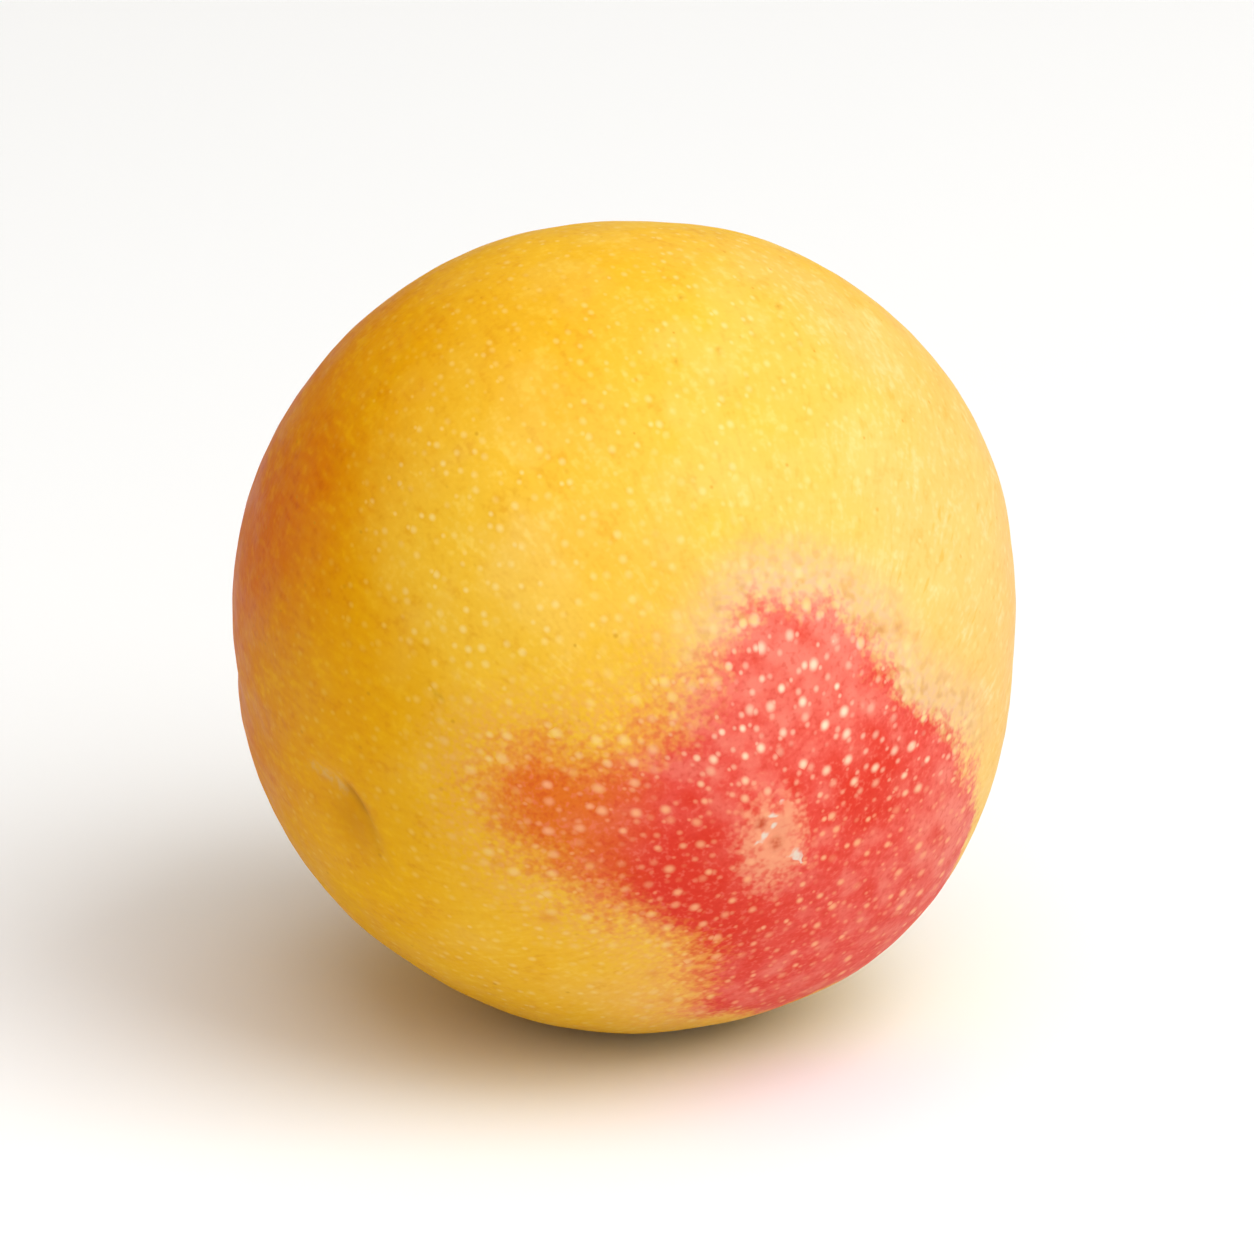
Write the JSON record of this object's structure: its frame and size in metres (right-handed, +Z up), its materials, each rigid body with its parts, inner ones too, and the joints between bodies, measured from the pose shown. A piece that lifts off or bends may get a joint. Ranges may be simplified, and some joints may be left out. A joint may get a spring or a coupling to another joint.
{
  "type": "plumcot",
  "caption": "Whole round stone fruit with waxy golden skin, a red blush with pale dots, a stem cavity, a faint seam and a small flat it rests on.",
  "frame": {"origin": "middle of the small flat that the fruit rests on, under the fruit's middle", "axes": "+Z up from the surface it rests on, -Y towards the front, where the blossom end faces, 22 degrees towards +X"},
  "size_m": [0.0505, 0.0517, 0.0525],
  "materials": {
    "fruit_skin": "satin waxy fruit skin, golden yellow with a coral red blush and pale cream dots"
  },
  "bodies": {
    "root": {"plumcot": "fruit_skin"}
  },
  "joints": []
}
